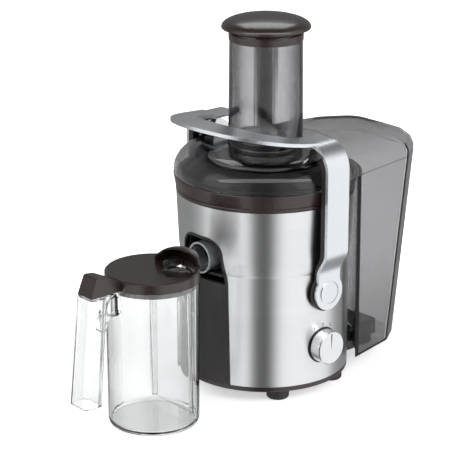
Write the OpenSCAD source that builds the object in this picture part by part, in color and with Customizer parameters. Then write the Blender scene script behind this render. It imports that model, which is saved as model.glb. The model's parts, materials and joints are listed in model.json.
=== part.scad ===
// Centrifugal juicer with pulp bin, locking arm and juice jug.
// All lengths in millimetres, +Z up, spout side towards -Y, pulp bin towards +Y.

/* [Base] */
// Height of the rubber feet
foot_h = 12; // [9:1:16]
// Radius of one rubber foot
foot_r = 13; // [10:0.5:16]
// How far inside the metal the middles of the feet stand
foot_inset = 16.5; // [14.5:0.5:22]
// Height of the plastic base ring under the metal
base_h = 6; // [5:0.5:10]
// Thickness of the bottom cover
base_plate_t = 2.5; // [2:0.25:4]

/* [Body] */
// Outer radius of the metal body at its foot
body_r = 96.5; // [93:0.5:100]
// Height of the metal body
body_h = 208; // [203:1:214]
// How much wider the metal is under the collar
body_flare = 5.5; // [3:0.5:8]
// Height above the metal's foot where the flare starts
flare_up = 130; // [120:1:140]
// Thickness of the metal skin
skin_t = 1.2; // [0.8:0.1:1.6]
// Wall of the plastic body inside the metal
chassis_t = 2.5; // [2:0.25:3.5]
// Depth of the motor deck below the collar's top
deck_drop = 102.3; // [101.3:0.5:104.3]

/* [Collar and bowl] */
// Height of the brown collar
collar_h = 20; // [18:1:24]
// How far the collar's top edge stands out from the metal
collar_proud = 3; // [2:0.5:5]
// How far inside the metal the bowl stands where it goes down into the body
bowl_inset = 16.5; // [13.5:0.5:19.5]
// Wall of the bowl
bowl_t = 2.5; // [2:0.25:3.5]
// Outer radius of the tube in the bowl around the drive
bowl_tube_r = 33; // [31:0.5:35]

/* [Spout] */
// Outer radius of the spout
spout_r = 18; // [16:0.5:19]
// Wall of the spout
spout_t = 2.2; // [1.5:0.1:3]
// Depth of the spout's mouth below the collar's top
spout_drop = 82.8; // [81.3:0.5:84.3]
// How far the spout's mouth stands in front of the metal
spout_proud = 4.5; // [2:0.5:10]
// Downward slope of the spout in degrees
spout_slope = 8; // [4:1:10]

/* [Front arch] */
// Half the width of the arch at the foot of the body
arch_foot_w = 38.5; // [36:0.5:42]
// Half the width of the arch where its top starts
arch_w = 36; // [34:0.5:39]
// Height of the arch's top above the spout's mouth
arch_over = 26.5; // [24.5:0.5:29.5]
// Radius of the arch's upper corners
arch_corner_r = 20; // [16:1:22]
// Height above the metal's foot where the panel ends and the opening starts
panel_h = 120; // [116:1:122]
// Width of the trim around the arch
trim_w = 3; // [2:0.5:4]
// How far the trim stands out from the metal
trim_proud = 1; // [0.6:0.2:2]

/* [Drive] */
// Radius of the motor shaft
shaft_r = 4; // [3.5:0.25:5]
// Running clearance on the radius of a turning shaft
run_gap = 0.05; // [0.03:0.01:0.08]
// Radius of the motor's rotor
rotor_r = 22; // [20:0.5:24]
// Air gap between rotor and stator
air_gap = 0.6; // [0.4:0.1:1]
// Outer radius of the motor's stator
stator_r = 42; // [38:1:46]
// Height of the stator's steel stack
stator_h = 44; // [38:1:48]
// Radius of the cooling fan
fan_r = 36; // [32:1:40]
// Number of fan blades
fan_blades = 12; // [8:1:16]
// Number of dogs on the drive coupling
dogs = 6; // [4:1:8]

/* [Filter basket] */
// How far inside the metal the basket's rim stands
basket_inset = 31; // [29.5:0.5:33.5]
// How much narrower than the rim the mesh cone is at its foot
basket_narrowing = 20.5; // [18.5:0.5:22.5]
// Height of the mesh cone
basket_h = 46; // [43:0.5:48]
// Thickness of the mesh
mesh_t = 0.8; // [0.6:0.1:1.2]
// Slots round the mesh cone in each row
mesh_slots = 24; // [18:1:30]
// Rows of slots up the mesh cone
mesh_rows = 4; // [2:1:5]
// How far the grater disc ends inside the foot of the mesh cone
grater_inset = 5; // [3:0.5:8]
// Arms of teeth on the grater disc
tooth_arms = 8; // [5:1:10]
// Teeth on each arm
teeth_per_arm = 6; // [4:1:7]

/* [Lid] */
// Height of the lid's dome above the collar
lid_h = 32; // [30:1:36]
// Wall of the lid
lid_t = 2.4; // [2:0.2:3]
// Height of the bin's roof above the collar
roof_h = 29; // [26:1:30]
// Radius of the round ears that the arm holds down
ear_r = 24; // [22:0.5:24.5]
// Thickness of an ear
ear_t = 4; // [3:0.5:5]
// How far an ear's middle stands inside the collar's edge
ear_inset = 19; // [18:0.5:20]

/* [Feed chute and pusher] */
// Outer radius of the chute at its foot
chute_r = 42.5; // [41:0.5:44]
// Draft of the chute from foot to rim on the radius
chute_draft = 1.3; // [0.5:0.1:2]
// Wall of the chute
chute_t = 2.2; // [1.8:0.1:2.6]
// Height of the chute above the lid
chute_h = 122.5; // [112:0.5:130]
// Height of the chute's rim ring
rim_h = 5.5; // [5:0.5:9]
// Outer radius of the pusher
pusher_r = 36.3; // [34:0.1:36.8]
// Wall of the pusher
pusher_t = 2; // [1.6:0.1:2.6]
// Radius of the pusher's cap
cap_r = 50.3; // [48:0.1:53]
// Height of the pusher's cap above its lip
cap_h = 15; // [12:0.5:18]

/* [Locking arm] */
// Height of the arm's pivot above the metal's foot
pivot_up = 108; // [104:1:112]
// Width of the arm's strap
strap_w = 33; // [29:0.5:36]
// Thickness of the strap
strap_t = 4; // [3:0.25:5]
// Thickness of the dark liner behind the strap
liner_t = 6.5; // [5:0.25:7.5]
// Height of the strap's top above the collar
arm_rise = 53; // [52:0.5:56]
// Outer radius of the bend at the strap's top
bend_r = 30; // [28:1:32]
// Radius of the strap's round foot
lobe_r = 20.5; // [18:0.5:22]
// Radius of the pivot's button
button_r = 13.3; // [11:0.1:15]
// Radius of the pivot pin
pin_r = 6; // [5:0.25:7]
// Reach of the visor in front of the axis
visor_reach = 115; // [110:1:120]
// Half the width of the visor's outer edge
visor_half_w = 97; // [94:0.5:99]
// Depth of the visor's plate
visor_d = 30; // [26:1:31]
// Rise of the visor towards the front
visor_rise = 20; // [14:1:24]

/* [Speed knob] */
// Height of the knob above the metal's foot
knob_up = 42.5; // [38:0.5:48]
// Radius of the knob
knob_r = 19.5; // [17:0.5:22]
// How far the knob stands out from the metal
knob_proud = 14.5; // [11:0.5:18]
// Radius of the switch's spindle
spindle_r = 3; // [2.5:0.25:4]

/* [Pulp bin] */
// Half the width of the bin at its mouth
bin_half_w = 91; // [88:0.5:94]
// Reach of the bin's back behind the axis at its mouth
bin_reach = 196; // [190:1:205]
// Reach of the bin's back behind the axis at its floor
bin_foot_reach = 170; // [165:1:178]
// Half the width of the bin at its floor
bin_foot_half_w = 88; // [85:0.5:91]
// Height of the bin's floor above the table
bin_floor_up = 23.5; // [21:0.5:26]
// Wall of the bin
bin_t = 2.2; // [1.8:0.1:3]
// Gap between the collar and the bin's hollow front
bin_gap = 2; // [1.5:0.25:3]
// Height of the ledge that carries the bin above the table
ledge_h = 42; // [40:0.5:46]
// Half the width of the ledge
ledge_half_w = 45; // [38:1:50]

/* [Jug] */
// Outer radius of the jug at its rim
jug_r = 51.3; // [48:0.1:54]
// Height of the jug's rim above the middle of the spout's mouth
jug_over = 1.5; // [0:0.5:4]
// Wall of the jug
jug_t = 2.4; // [2:0.2:3]
// Sideways place of the jug from the spout
jug_x = 22; // [16:1:26]
// Distance of the jug's axis in front of the drum's axis
jug_y = 188; // [180:1:200]
// Direction of the jug's handle, turned from straight ahead to the left
jug_turn = 3; // [-10:1:20]
// Height of the jug's lid
jug_lid_h = 12; // [10:0.5:14]
// Rise of the hood on the jug's lid
hood_h = 18.5; // [16:0.5:24]
// Distance of the handle's middle from the jug's axis at its foot
handle_d = 91; // [88:0.5:96]

/* [Clearances] */
// Gap between pieces that can be taken apart
part_gap = 0.3; // [0.2:0.05:0.5]

/* [Hidden] */

smooth = 96;
soft = 32;
sliver = 0.01;

// Heights
body_z0 = foot_h + base_h;
body_z1 = body_z0 + body_h;
flare_z = body_z0 + flare_up;
collar_foot_h = 4;
collar_z0 = body_z1 + part_gap;
collar_z1 = collar_z0 + collar_h;
deck_z = collar_z1 - deck_drop;
deck_t = 3;
lid_z = collar_z1 + part_gap;
lid_top_z = lid_z + lid_h;
spout_z = collar_z1 - spout_drop;
pivot_z = body_z0 + pivot_up;
knob_z = body_z0 + knob_up;
panel_z1 = body_z0 + panel_h;
arch_z1 = spout_z + arch_over;
jug_h = spout_z + jug_over;

// Radii
body_top_r = body_r + body_flare;
collar_foot_r = body_top_r + 0.4;
collar_r = body_top_r + collar_proud;
chassis_r = body_r - skin_t - part_gap;
step_r = body_r + 1;
foot_circle_r = body_r - foot_inset;
bowl_r = body_r - bowl_inset;
basket_rim_r = body_r - basket_inset;
basket_foot_r = basket_rim_r - basket_narrowing;
grater_r = basket_foot_r - grater_inset;
ear_x = collar_r - ear_inset;

// Places of the model's ends; the origin stands in the middle of them, at table height
handle_half_w = 16;
handle_foot_half_d = 12;
hand_y = (handle_d + handle_foot_half_d) * cos(jug_turn) + handle_half_w * abs(sin(jug_turn));
front_y = -jug_y - hand_y;
frame_y = -(front_y + bin_reach) / 2;

// Moves a piece from the drum's axis into the model's frame
module place() {
    translate([0, frame_y, 0]) children();
}

// A copy on each side of the machine
module both_sides() {
    children();
    mirror([1, 0, 0]) children();
}

// Copies at equal angles round the drum's axis
module ring_of(count, start = 0) {
    for (i = [0 : count - 1]) rotate([0, 0, start + i * 360 / count]) children();
}

module tube(r_out, r_in, h) {
    difference() {
        cylinder(r = r_out, h = h, $fn = smooth);
        translate([0, 0, -1]) cylinder(r = r_in, h = h + 2, $fn = smooth);
    }
}

module turned(points) {
    rotate_extrude($fn = smooth) polygon(points);
}

// Cylinder along +X from x0 to x1
module x_rod(r, x0, x1) {
    translate([x0, 0, 0]) rotate([0, 90, 0]) cylinder(r = r, h = x1 - x0, $fn = smooth);
}

// ---------------------------------------------------------------- body

// Outline of the metal on its outer side, pushed inwards by d
function body_side(d) = [
    [body_r - d, body_z0], [body_r - d, flare_z], [step_r - d, flare_z + 4],
    [step_r + 1.6 - d, flare_z + 16], [body_top_r - d, body_z1]];

function reversed(list) = [for (i = [len(list) - 1 : -1 : 0]) list[i]];

// Front view of the arch, made smaller all round by d
module arch_outline(d) {
    corner_x = arch_w - 4 - arch_corner_r;
    corner_z = arch_z1 - arch_corner_r;
    r = arch_corner_r - d;
    for (side = [-1, 1]) translate([side * corner_x, corner_z]) circle(r = r, $fn = smooth);
    translate([-corner_x, corner_z]) square([2 * corner_x, r]);
    polygon([[-arch_foot_w + d, body_z0 - 1], [arch_foot_w - d, body_z0 - 1],
        [arch_w - d, panel_z1], [corner_x + r, corner_z], [-corner_x - r, corner_z],
        [-arch_w + d, panel_z1]]);
}

// The arch outline carried through the front wall
module arch_block(d) {
    rotate([90, 0, 0]) linear_extrude(height = 2 * body_r) arch_outline(d);
}

module body_skin() {
    color("silver") place() difference() {
        turned(concat(body_side(0), reversed(body_side(skin_t))));
        arch_block(0);
        both_sides() translate([0, 0, pivot_z]) x_rod(pin_r + part_gap, 0, body_r + 5);
        translate([0, 0, knob_z]) x_rod(spindle_r + 2, 0, body_r + 5);
        at_cord() cylinder(r = gland_r, h = 2 * body_r, $fn = smooth);
    }
}

chassis_z0 = body_z0 + 2;
chassis_z1 = body_z1 - 2;
chassis_split_z = deck_z + deck_t;
deck_hole_r = bowl_tube_r - 4;

// Half of the plastic body from height z0 to z1, on the side towards +X (side 1) or -X (side -1)
module chassis_half(side, z0, z1) {
    color("dimgray") place() difference() {
        intersection() {
            translate([0, 0, z0]) tube(chassis_r, chassis_r - chassis_t, z1 - z0);
            translate([side * (body_r + part_gap / 2), 0, body_z1 / 2])
                cube([2 * body_r, 4 * body_r, 2 * body_h], center = true);
        }
        difference() {
            arch_block(trim_w + 1);
            translate([-body_r, -body_r * 2, 0]) cube([2 * body_r, 2 * body_r, panel_z1]);
        }
        spout_clearance();
        both_sides() translate([0, 0, pivot_z]) x_rod(pin_r + part_gap, 0, body_r + 5);
        translate([0, 0, knob_z]) x_rod(spindle_r + 4, 0, body_r + 5);
        at_cord() cylinder(r = gland_r, h = 2 * body_r, $fn = smooth);
    }
}

// Two halves round the motor and two more round the bowl
module chassis_left() {
    chassis_half(-1, chassis_z0, chassis_split_z);
}

module chassis_right() {
    chassis_half(1, chassis_z0, chassis_split_z);
}

module shell_left() {
    chassis_half(-1, chassis_split_z + part_gap, chassis_z1);
}

module shell_right() {
    chassis_half(1, chassis_split_z + part_gap, chassis_z1);
}

module deck() {
    color("dimgray") place() difference() {
        union() {
            translate([0, 0, deck_z]) tube(chassis_r - chassis_t - part_gap, deck_hole_r, deck_t);
            ring_of(4, 45) translate([mount_x, 0, deck_z - mount_boss_h])
                cylinder(r = 6, h = mount_boss_h + sliver, $fn = soft);
        }
        spout_clearance();
    }
}

module base_ring() {
    color("#3b3233") place() turned([[body_r - 9, foot_h + base_plate_t + part_gap],
        [body_r - 1.6, foot_h + base_plate_t + part_gap], [body_r - 1.6, foot_h],
        [body_r - 0.8, foot_h], [body_r, foot_h + 1.5], [body_r, body_z0 - part_gap],
        [body_r - 9, body_z0 - part_gap]]);
}

vent_count = 5;

module base_plate() {
    color("#2b2627") place() translate([0, 0, foot_h]) difference() {
        cylinder(r = body_r - 1.6 - part_gap, h = base_plate_t, $fn = smooth);
        for (i = [0 : vent_count - 1])
            translate([-20, (i - (vent_count - 1) / 2) * 11 - 2, -1]) cube([40, 4, base_plate_t + 2]);
        ring_of(4, 45) translate([foot_circle_r, 0, -1])
            cylinder(r = screw_r, h = base_plate_t + 2, $fn = smooth);
    }
}

screw_r = 2.2;
screw_head_r = 4;
foot_angles = [32, 148, 212, 328];

module at_feet() {
    for (a = foot_angles) rotate([0, 0, a - 90]) translate([0, foot_circle_r, 0]) children();
}

module feet() {
    color("#3c3637") place() at_feet() difference() {
        union() {
            cylinder(r1 = foot_r - 1.5, r2 = foot_r, h = 2, $fn = smooth);
            translate([0, 0, 2]) cylinder(r = foot_r, h = foot_h - 2 - sliver, $fn = smooth);
        }
        translate([0, 0, -1]) cylinder(r = screw_head_r + 1, h = 7, $fn = smooth);
        cylinder(r = screw_r + 0.2, h = foot_h + 1, $fn = smooth);
    }
}

module foot_screws() {
    color("gray") place() at_feet() {
        translate([0, 0, 3.5]) cylinder(r = screw_head_r, h = 2.5, $fn = smooth);
        translate([0, 0, 5]) cylinder(r = screw_r - 0.1, h = foot_h - 5 - part_gap, $fn = smooth);
    }
}

// ---------------------------------------------------------------- front panel

module front_panel() {
    color("#332c2d") place() intersection() {
        translate([0, 0, body_z0 - 1]) tube(body_r + 0.2, chassis_r + 0.1, panel_h + 1);
        arch_block(trim_w + 0.2);
        translate([-body_r, -2 * body_r, body_z0]) cube([2 * body_r, 2 * body_r, panel_h]);
    }
}

module arch_trim() {
    color("#4a3f40") place() difference() {
        intersection() {
            difference() {
                turned(concat(body_side(-trim_proud), reversed(body_side(skin_t + part_gap - 0.1))));
                arch_block(trim_w);
            }
            arch_block(0.1);
        }
        translate([-body_r, -2 * body_r, body_z0 - 10]) cube([2 * body_r, 2 * body_r, 10]);
    }
}

// ---------------------------------------------------------------- motor

foot_bracket_z = body_z0 + 14;
stator_z = foot_bracket_z + 32;
mount_x = stator_r + 12;
mount_boss_h = 8;
mount_pad_h = 6;
bracket_t = 3;
bracket_z = deck_z - mount_boss_h - mount_pad_h - bracket_t;
bearing_r = 11;
bearing_h = 7;
shaft_z0 = foot_bracket_z + 1;

module motor_stator() {
    color("slategray") place() translate([0, 0, stator_z]) difference() {
        intersection() {
            cylinder(r = stator_r, h = stator_h, $fn = smooth);
            translate([-stator_r + 4, -stator_r, 0]) cube([2 * stator_r - 8, 2 * stator_r, stator_h]);
        }
        translate([0, 0, -1]) cylinder(r = rotor_r + air_gap, h = stator_h + 2, $fn = smooth);
        both_sides() translate([rotor_r, -winding_w / 2 - 1, -1])
            cube([winding_t + 2, winding_w + 2, stator_h + 2]);
    }
}

winding_out = 8;
winding_w = 26;
winding_t = 8;

module motor_windings() {
    color("#b06a30") place() both_sides()
        translate([rotor_r + air_gap + 0.6, -winding_w / 2, stator_z - winding_out]) difference() {
            cube([winding_t, winding_w, stator_h + 2 * winding_out]);
            for (y = [-1, winding_w - 1])
                translate([-1, y, winding_out - part_gap]) cube([winding_t + 2, 2, stator_h + 2 * part_gap]);
        }
}

// Cross-shaped bracket with a boss for a bearing
module bearing_bracket(reach) {
    difference() {
        union() {
            cylinder(r = bearing_r + 4, h = bearing_h + 3, $fn = smooth);
            ring_of(4, 45) translate([0, -7, 0]) cube([reach, 14, bracket_t]);
            ring_of(4, 45) translate([reach, 0, 0]) cylinder(r = 7, h = bracket_t, $fn = smooth);
        }
        translate([0, 0, 3]) cylinder(r = bearing_r + 0.02, h = bearing_h + 1, $fn = smooth);
        translate([0, 0, -1]) cylinder(r = shaft_r + 3, h = bearing_h, $fn = smooth);
    }
}

module motor_top_bracket() {
    color("lightslategray") place() translate([0, 0, bracket_z]) bearing_bracket(mount_x);
}

post_r = 3.5;
post_x = stator_r + post_r + part_gap;

module motor_foot_bracket() {
    color("lightslategray") place() translate([0, 0, foot_bracket_z]) {
        bearing_bracket(post_x);
        ring_of(4, 45) translate([post_x, 0, 0])
            cylinder(r = post_r, h = bracket_z - foot_bracket_z - part_gap, $fn = soft);
    }
}

module rubber_mounts() {
    color("#222222") place() ring_of(4, 45) translate([mount_x, 0, bracket_z + bracket_t + part_gap])
        cylinder(r = 6, h = mount_pad_h - 2 * part_gap, $fn = smooth);
}

module bearing_ring() {
    tube(bearing_r, shaft_r + run_gap, bearing_h);
}

module upper_bearing() {
    color("gainsboro") place() translate([0, 0, bracket_z + 3]) bearing_ring();
}

module lower_bearing() {
    color("gainsboro") place() translate([0, 0, foot_bracket_z + 3]) bearing_ring();
}

commutator_z = foot_bracket_z + bearing_h + 6;
commutator_h = 12;
commutator_r = 11;

module brush_holders() {
    color("#6b4a2a") place() both_sides()
        translate([commutator_r + part_gap, -4, commutator_z + 2]) {
            cube([20, 8, 8]);
            translate([8, -4, -commutator_z - 2 + foot_bracket_z + bracket_t + part_gap])
                cube([10, 16, commutator_z + 2 - foot_bracket_z - bracket_t - part_gap]);
        }
}

// ---------------------------------------------------------------- switches, gland and pivots

switch_x = chassis_r - chassis_t;
cord_z = body_z0 + 12;
cord_turn = 70;
gland_r = 8;
gland_bore_r = 3.6;

module speed_switch() {
    color("#23232a") place() translate([0, 0, knob_z]) difference() {
        union() {
            translate([switch_x - 26, -16, -16]) cube([22, 32, 32]);
            x_rod(spindle_r + 3.5, switch_x - 5, switch_x + 1.5);
        }
        x_rod(spindle_r + run_gap, switch_x - 18, body_r + 5);
    }
}

module knob_bezel() {
    bezel_r = knob_r + 1.5;
    color("#5c5456") place() translate([0, 0, knob_z]) difference() {
        intersection() {
            x_rod(bezel_r, body_r - 8, body_r + 4);
            translate([0, 0, -knob_r * 2]) tube(body_r + 0.8, body_r + 0.05, knob_r * 4);
        }
        x_rod(spindle_r + 2, 0, body_r + 5);
    }
}

// Distance by which the chassis wall bends away from a flat face at half width w
function wall_bend(w) = switch_x - sqrt(switch_x * switch_x - w * w);

lock_switch_y = 18;

module lock_switch() {
    color("#27272c") place()
        translate([switch_x - wall_bend(lock_switch_y + 20) - 8, lock_switch_y, pivot_z - 8]) difference() {
            union() {
                cube([8 - part_gap, 20, 14]);
                translate([2, 7, 14 - sliver]) cube([4, 6, 3]);
            }
            translate([-1, 4, 7]) rotate([0, 90, 0]) cylinder(r = 1.5, h = 10, $fn = smooth);
        }
}

// Places its children on the drum's axis with +Z running out of the back, to the left, at the cord
module at_cord() {
    rotate([0, 0, cord_turn]) translate([0, 0, cord_z]) rotate([-90, 0, 0]) children();
}

module cord_gland() {
    color("#2a2728") place() at_cord() difference() {
        union() {
            translate([0, 0, body_r - 8]) cylinder(r = gland_r - 0.05, h = 9, $fn = smooth);
            translate([0, 0, body_r + 0.4]) cylinder(r = gland_r + 3, h = 3, $fn = smooth);
        }
        translate([0, 0, body_r - 9]) cylinder(r = gland_bore_r, h = 20, $fn = smooth);
    }
}

bracket_len = 14;

module pivot_brackets() {
    color("slategray") place() both_sides() translate([0, 0, pivot_z]) difference() {
        union() {
            x_rod(pin_r + 4, switch_x - bracket_len, switch_x - 3);
            translate([switch_x - 5, -14, -14]) cube([5 - wall_bend(14) - part_gap, 28, 28]);
        }
        x_rod(pin_r + run_gap, switch_x - bracket_len + 2, body_r);
    }
}

// ---------------------------------------------------------------- bin ledge

ledge_reach = 26;
ledge_y1 = collar_r + bin_gap + ledge_reach;

module bin_ledge() {
    color("#2f292a") place() difference() {
        translate([-ledge_half_w, 0, foot_h + 1]) cube([2 * ledge_half_w, ledge_y1, ledge_h - foot_h - 1]);
        translate([0, 0, foot_h]) cylinder(r = body_r + part_gap, h = ledge_h, $fn = smooth);
        translate([-ledge_half_w + 3, 0, foot_h])
            cube([2 * ledge_half_w - 6, ledge_y1 - 3, ledge_h - foot_h - 3]);
    }
}

// ---------------------------------------------------------------- bowl and collar

bowl_z0 = deck_z + deck_t + part_gap;
bowl_neck_r = chassis_r - chassis_t - 0.5;
bowl_step_z = body_z1 - 24;
deck_lip_r = basket_rim_r + 2.8;
deck_lip_z = collar_z1 + 13;
spout_run = 60;
outlet_z = spout_z + (body_r + spout_proud - bowl_r) * tan(spout_slope);

// Places its children where the bore leaves the bowl, with +Z running out and down the spout
module along_spout() {
    translate([0, -bowl_r, outlet_z]) rotate([90 + spout_slope, 0, 0]) children();
}

// Room through the plastic body for the spout and its seal
module spout_clearance() {
    along_spout() translate([0, 0, -spout_r])
        cylinder(r = spout_r + seal_t + part_gap, h = spout_run, $fn = smooth);
}

module bowl() {
    color("#2c2627") place() difference() {
        turned([[bowl_tube_r + part_gap, bowl_z0], [bowl_r, bowl_z0], [bowl_r, bowl_step_z],
            [bowl_neck_r, bowl_step_z + 12], [bowl_neck_r, collar_z1 - 4],
            [bowl_neck_r + 4, collar_z1 - 4], [bowl_neck_r + 4, collar_z1],
            [bowl_neck_r - bowl_t, collar_z1], [bowl_neck_r - bowl_t, bowl_step_z + 13],
            [bowl_r - bowl_t, bowl_step_z + 1], [bowl_r - bowl_t, bowl_z0 + bowl_t],
            [bowl_tube_r + part_gap, bowl_z0 + bowl_t]]);
        along_spout() translate([0, 0, -spout_r])
            cylinder(r = spout_r - spout_t, h = 2 * spout_r, $fn = smooth);
    }
}

// Sleeve round the drive, pressed into the bowl's floor
module bowl_sleeve() {
    color("#2c2627") place() translate([0, 0, bowl_z0])
        tube(bowl_tube_r, bowl_tube_r - bowl_t, bowl_tube_z1 - bowl_z0);
}

// Sloping ring that leads the pulp from the basket's rim outwards
module pulp_ring() {
    r1 = bowl_neck_r - bowl_t - part_gap;
    color("#2c2627") place() turned([[r1, collar_z1 - 4], [r1, collar_z1 - 0.5],
        [deck_lip_r + 2, deck_lip_z + 2.5], [deck_lip_r, deck_lip_z + 2.5], [deck_lip_r, deck_lip_z],
        [deck_lip_r + 3, deck_lip_z - 0.8]]);
}

module bowl_seal() {
    color("#1c1c1c") place() translate([0, 0, deck_z + deck_t - 1.5 + part_gap])
        tube(deck_hole_r - part_gap, deck_hole_r - 3, 4);
}

module collar() {
    z0 = collar_z0 + collar_foot_h + part_gap;
    r_in = bowl_neck_r + 4 + part_gap;
    color("#3f3435") place() turned([[r_in, z0], [collar_foot_r, z0], [collar_r, collar_z1 - 1],
        [collar_r - 1, collar_z1], [r_in, collar_z1]]);
}

module collar_foot() {
    color("#352c2d") place() turned([[bowl_neck_r + part_gap, collar_z0], [collar_foot_r - 0.6, collar_z0],
        [collar_foot_r, collar_z0 + 1], [collar_foot_r, collar_z0 + collar_foot_h],
        [bowl_neck_r + part_gap, collar_z0 + collar_foot_h]]);
}

module spout() {
    mouth_y = -body_r - spout_proud;
    color("#8d8f92") place() difference() {
        along_spout() translate([0, 0, -10]) tube(spout_r, spout_r - spout_t, spout_run);
        cylinder(r = bowl_r + part_gap, h = 2 * body_h, $fn = smooth);
        translate([-body_r, mouth_y - 2 * spout_run, 0]) cube([2 * body_r, 2 * spout_run, 2 * body_h]);
    }
}

seal_t = 2.5;

module spout_seal() {
    color("#1c1c1c") place() difference() {
        along_spout() translate([0, 0, -10]) tube(spout_r + seal_t, spout_r + part_gap, spout_run);
        cylinder(r = bowl_r + part_gap, h = 2 * body_h, $fn = smooth);
        difference() {
            cylinder(r = 4 * body_r, h = 2 * body_h, $fn = smooth);
            translate([0, 0, -1]) cylinder(r = bowl_r + 3.5, h = 2 * body_h + 2, $fn = smooth);
        }
    }
}

// ---------------------------------------------------------------- drive

hub_up = 70;
hub_z = deck_z + hub_up;
bowl_tube_z1 = hub_z - 9;
hub_t = 3;
coupling_r = 16;
coupling_h = 14;
coupling_z = hub_z - coupling_h - 2;
shaft_z1 = coupling_z + coupling_h - 2;

module motor_shaft() {
    color("silver") place() translate([0, 0, shaft_z0])
        cylinder(r = shaft_r, h = shaft_z1 - shaft_z0, $fn = smooth);
}

module rotor() {
    color("#55585c") place() translate([0, 0, stator_z]) difference() {
        cylinder(r = rotor_r, h = stator_h, $fn = smooth);
        translate([0, 0, -1]) cylinder(r = shaft_r + run_gap, h = stator_h + 2, $fn = smooth);
        ring_of(12) translate([rotor_r - 3, -1, -1]) cube([5, 2, stator_h + 2]);
    }
}

module commutator() {
    color("#b87333") place() translate([0, 0, commutator_z])
        tube(commutator_r, shaft_r + run_gap, commutator_h);
}

fan_z = stator_z + stator_h + winding_out + 1;
fan_h = 8;

module cooling_fan() {
    color("#30343a") place() translate([0, 0, fan_z]) difference() {
        union() {
            cylinder(r = fan_r, h = 1.6, $fn = smooth);
            cylinder(r = shaft_r + 5, h = fan_h, $fn = smooth);
            ring_of(fan_blades) translate([shaft_r + 8, -0.8, 1]) cube([fan_r - shaft_r - 9, 1.6, fan_h - 1]);
        }
        translate([0, 0, -1]) cylinder(r = shaft_r + run_gap, h = fan_h + 2, $fn = smooth);
    }
}

dog_w = 4;
dog_d = 3;

module drive_coupling() {
    color("#7c8083") place() translate([0, 0, coupling_z]) difference() {
        union() {
            cylinder(r = coupling_r - dog_d, h = coupling_h, $fn = smooth);
            ring_of(dogs) translate([0, -dog_w / 2, 0]) cube([coupling_r, dog_w, coupling_h]);
        }
        translate([0, 0, -1]) cylinder(r = shaft_r + run_gap, h = coupling_h - 1 + sliver, $fn = smooth);
    }
}

hub_boss_r = coupling_r + 5;
skirt_r = bowl_tube_r + 4;

module basket_hub() {
    color("#2a2a2d") place() difference() {
        union() {
            translate([0, 0, hub_z]) cylinder(r = basket_foot_r, h = hub_t, $fn = smooth);
            translate([0, 0, coupling_z])
                cylinder(r = hub_boss_r, h = hub_z - coupling_z + sliver, $fn = smooth);
            translate([0, 0, hub_z - 18]) tube(skirt_r + 2.5, skirt_r, 18 + sliver);
        }
        translate([0, 0, coupling_z - 1]) {
            cylinder(r = coupling_r - dog_d + part_gap, h = coupling_h + 1 + part_gap, $fn = smooth);
            ring_of(dogs) translate([0, -dog_w / 2 - part_gap, 0])
                cube([coupling_r + part_gap, dog_w + 2 * part_gap, coupling_h + 1 + part_gap]);
        }
        translate([0, 0, hub_z - 3]) cylinder(r = nut_r - 3, h = 10, $fn = smooth);
    }
}

mesh_z0 = hub_z + hub_t;
mesh_z1 = mesh_z0 + basket_h;
rim_ring_w = 3;
mesh_top_r = basket_rim_r - rim_ring_w - 0.2;
mesh_slope = atan((mesh_top_r - basket_foot_r) / basket_h);

module mesh_cone() {
    pitch = basket_h / mesh_rows;
    color("#c9cbcd") place() difference() {
        turned([[basket_foot_r - 4, mesh_z0], [basket_foot_r, mesh_z0], [mesh_top_r, mesh_z1],
            [mesh_top_r - mesh_t, mesh_z1], [basket_foot_r - mesh_t, mesh_z0 + mesh_t],
            [basket_foot_r - 4, mesh_z0 + mesh_t]]);
        for (row = [0 : mesh_rows - 1]) {
            z = mesh_z0 + (row + 0.5) * pitch;
            r = basket_foot_r + (z - mesh_z0) * tan(mesh_slope);
            ring_of(mesh_slots, row * 180 / mesh_slots) translate([r, 0, z]) rotate([0, mesh_slope, 0])
                cube([8, 3, pitch - 4], center = true);
        }
    }
}

module basket_rim() {
    color("#d6d8da") place() turned([[mesh_top_r + 0.1, mesh_z1 - 5], [mesh_top_r + 1, mesh_z1 - 5],
        [basket_rim_r, mesh_z1 - 1], [basket_rim_r, mesh_z1 + 3], [basket_rim_r - 1, mesh_z1 + 4],
        [mesh_top_r - 1.5, mesh_z1 + 4], [mesh_top_r - 1.5, mesh_z1 + 0.1],
        [mesh_top_r + 0.1, mesh_z1 + 0.1]]);
}

disc_z = mesh_z0 + part_gap;
disc_t = 1.2;
tooth_h = 2;
nut_r = 9;

// One cutting tooth: a small wedge that leans into the direction of rotation
module tooth() {
    rotate([90, 0, 0]) translate([0, 0, -1.2]) linear_extrude(height = 2.4)
        polygon([[-2, -0.2], [1.6, -0.2], [1.9, tooth_h], [1.3, tooth_h]]);
}

module grater_disc() {
    first_r = nut_r + 4;
    step = (grater_r - 3 - first_r) / (teeth_per_arm - 1);
    color("#e2e4e6") place() translate([0, 0, disc_z]) difference() {
        union() {
            cylinder(r = grater_r, h = disc_t, $fn = smooth);
            for (arm = [0 : tooth_arms - 1], k = [0 : teeth_per_arm - 1])
                rotate([0, 0, arm * 360 / tooth_arms + k * 9]) translate([first_r + k * step, 0, disc_t])
                    rotate([0, 0, 90]) tooth();
        }
        translate([0, 0, -1]) cylinder(r = nut_r - 3, h = disc_t + 2, $fn = smooth);
    }
}

module clamp_nut() {
    color("#9fa3a6") place() {
        translate([0, 0, hub_z - 1.5])
            cylinder(r = nut_r - 3.2, h = disc_z + disc_t - hub_z + 1.7, $fn = smooth);
        translate([0, 0, disc_z + disc_t + 0.1]) cylinder(r = nut_r, h = 5, $fn = 6);
    }
}

// ---------------------------------------------------------------- lid

dome_flat_r = collar_r - 37;
dome_foot_h = 3;
dome_rim_r = collar_r - 0.5;
chute_hole_r = chute_r - chute_t + part_gap;

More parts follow.
